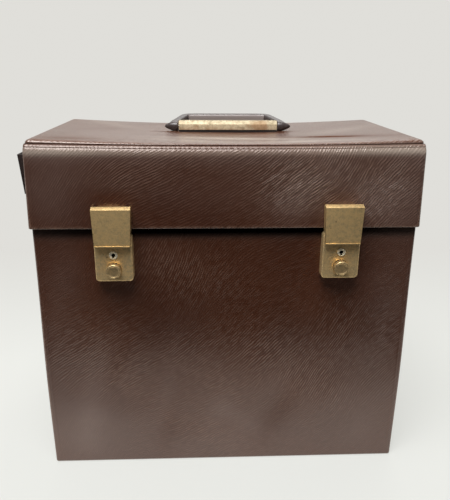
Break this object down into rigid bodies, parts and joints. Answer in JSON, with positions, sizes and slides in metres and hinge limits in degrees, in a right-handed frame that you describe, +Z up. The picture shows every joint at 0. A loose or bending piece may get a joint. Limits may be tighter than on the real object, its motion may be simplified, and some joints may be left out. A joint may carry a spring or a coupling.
{
  "type": "record carrying case",
  "caption": "Covered box for long-playing records with a deep hinged lid, push-button latches and a fold-flat handle.",
  "frame": {"origin": "middle of the body's underside, on the surface it stands on", "axes": "+X to the right and -Y out of the front seen from the latches, +Z up"},
  "size_m": [0.3606, 0.2211, 0.3444],
  "materials": {
    "leatherette": "dark reddish-brown vinyl leatherette with fine streaked grain, worn gloss",
    "board": "plain fibre board",
    "underside": "matt vinyl sheet",
    "lining": "matt tan lining paper",
    "pocket_vinyl": "dark vinyl, smooth",
    "card": "aged plain card",
    "latch_brass": "dull antique brass plate",
    "key_brass": "worn bright brass",
    "handle_brass": "worn satin brass",
    "handle_plastic": "dark brown moulded plastic, softly worn",
    "steel": "plain pressed steel",
    "hinge_brass": "dull antique brass plate",
    "rivet_steel": "plated steel"
  },
  "bodies": {
    "case_body": {"body_front_board": "board", "body_back_board": "board", "body_left_board": "board", "body_right_board": "board", "body_bottom_board": "board", "body_covering": "leatherette", "body_bottom_sheet": "underside", "body_lining": "lining", "lip_front": "lining", "lip_back": "lining", "lip_left": "lining", "lip_right": "lining", "lock_case_left": "latch_brass", "lock_case_right": "latch_brass", "lock_plate_left": "steel", "lock_plate_right": "steel", "key_plate_left": "key_brass", "key_plate_right": "key_brass", "key_posts": "steel", "lock_screws": "steel", "catch_spring_left": "steel", "catch_spring_right": "steel", "hinge_body_leaf_left": "hinge_brass", "hinge_body_leaf_right": "hinge_brass", "hinge_body_rivets": "hinge_brass", "hinge_pins": "hinge_brass"},
    "lid": {"lid_front_board": "board", "lid_back_board": "board", "lid_left_board": "board", "lid_right_board": "board", "lid_top_board": "board", "lid_wall_covering": "leatherette", "lid_top_covering": "leatherette", "lid_lining": "lining", "hinge_lid_leaf_left": "hinge_brass", "hinge_lid_leaf_right": "hinge_brass", "hinge_lid_rivets": "hinge_brass", "hasp_plate_left": "latch_brass", "hasp_plate_right": "latch_brass", "hasp_pins": "latch_brass", "hasp_rivets": "latch_brass", "handle_bridge": "handle_brass", "handle_strip": "handle_plastic", "handle_rod": "steel", "handle_rivets": "rivet_steel", "handle_backing_plate": "steel", "label_pocket": "pocket_vinyl", "label_card": "card"},
    "handle": {"handle": "handle_plastic"},
    "hasp_left": {"hasp_left": "latch_brass", "hasp_hook_left": "steel"},
    "button_left": {"button_left": "latch_brass"},
    "catch_left": {"catch_left": "steel"},
    "lock_slide_left": {"lock_slide_left": "steel"},
    "hasp_right": {"hasp_right": "latch_brass", "hasp_hook_right": "steel"},
    "button_right": {"button_right": "latch_brass"},
    "catch_right": {"catch_right": "steel"},
    "lock_slide_right": {"lock_slide_right": "steel"}
  },
  "joints": [
    {"name": "lid_hinge", "type": "hinge", "parent": "case_body", "child": "lid", "pos_m": [0, 0.1013, 0.2545], "axis": [-1, 0, 0], "range_deg": [0, 105]},
    {"name": "handle_fold", "type": "hinge", "parent": "lid", "child": "handle", "pos_m": [0.0049, 0, 0.3353], "axis": [1, 0, 0], "range_deg": [0, 172]},
    {"name": "hasp_left_hinge", "type": "hinge", "parent": "lid", "child": "hasp_left", "pos_m": [-0.103, -0.1052, 0.2742], "axis": [-1, 0, 0], "range_deg": [0, 105]},
    {"name": "button_left_press", "type": "slide", "parent": "case_body", "child": "button_left", "axis": [0, 1, 0], "range_m": [0, 0.002], "stiffness_N_per_m": 500, "springref_m": -0.003},
    {"name": "catch_left_drop", "type": "slide", "parent": "case_body", "child": "catch_left", "axis": [0, 0, -1], "range_m": [0, 0.002], "deforming": ["catch_spring_left"]},
    {"name": "lock_slide_left_shift", "type": "slide", "parent": "case_body", "child": "lock_slide_left", "axis": [1, 0, 0], "range_m": [-0.004, 0]},
    {"name": "hasp_right_hinge", "type": "hinge", "parent": "lid", "child": "hasp_right", "pos_m": [0.105, -0.1052, 0.2755], "axis": [-1, 0, 0], "range_deg": [0, 105]},
    {"name": "button_right_press", "type": "slide", "parent": "case_body", "child": "button_right", "axis": [0, 1, 0], "range_m": [0, 0.002], "stiffness_N_per_m": 500, "springref_m": -0.003},
    {"name": "catch_right_drop", "type": "slide", "parent": "case_body", "child": "catch_right", "axis": [0, 0, -1], "range_m": [0, 0.002], "deforming": ["catch_spring_right"]},
    {"name": "lock_slide_right_shift", "type": "slide", "parent": "case_body", "child": "lock_slide_right", "axis": [1, 0, 0], "range_m": [-0.004, 0]}
  ],
  "couplings": [
    {"joint": "catch_left_drop", "follows": "button_left_press", "ratio": 1},
    {"joint": "catch_right_drop", "follows": "button_right_press", "ratio": 1}
  ]
}
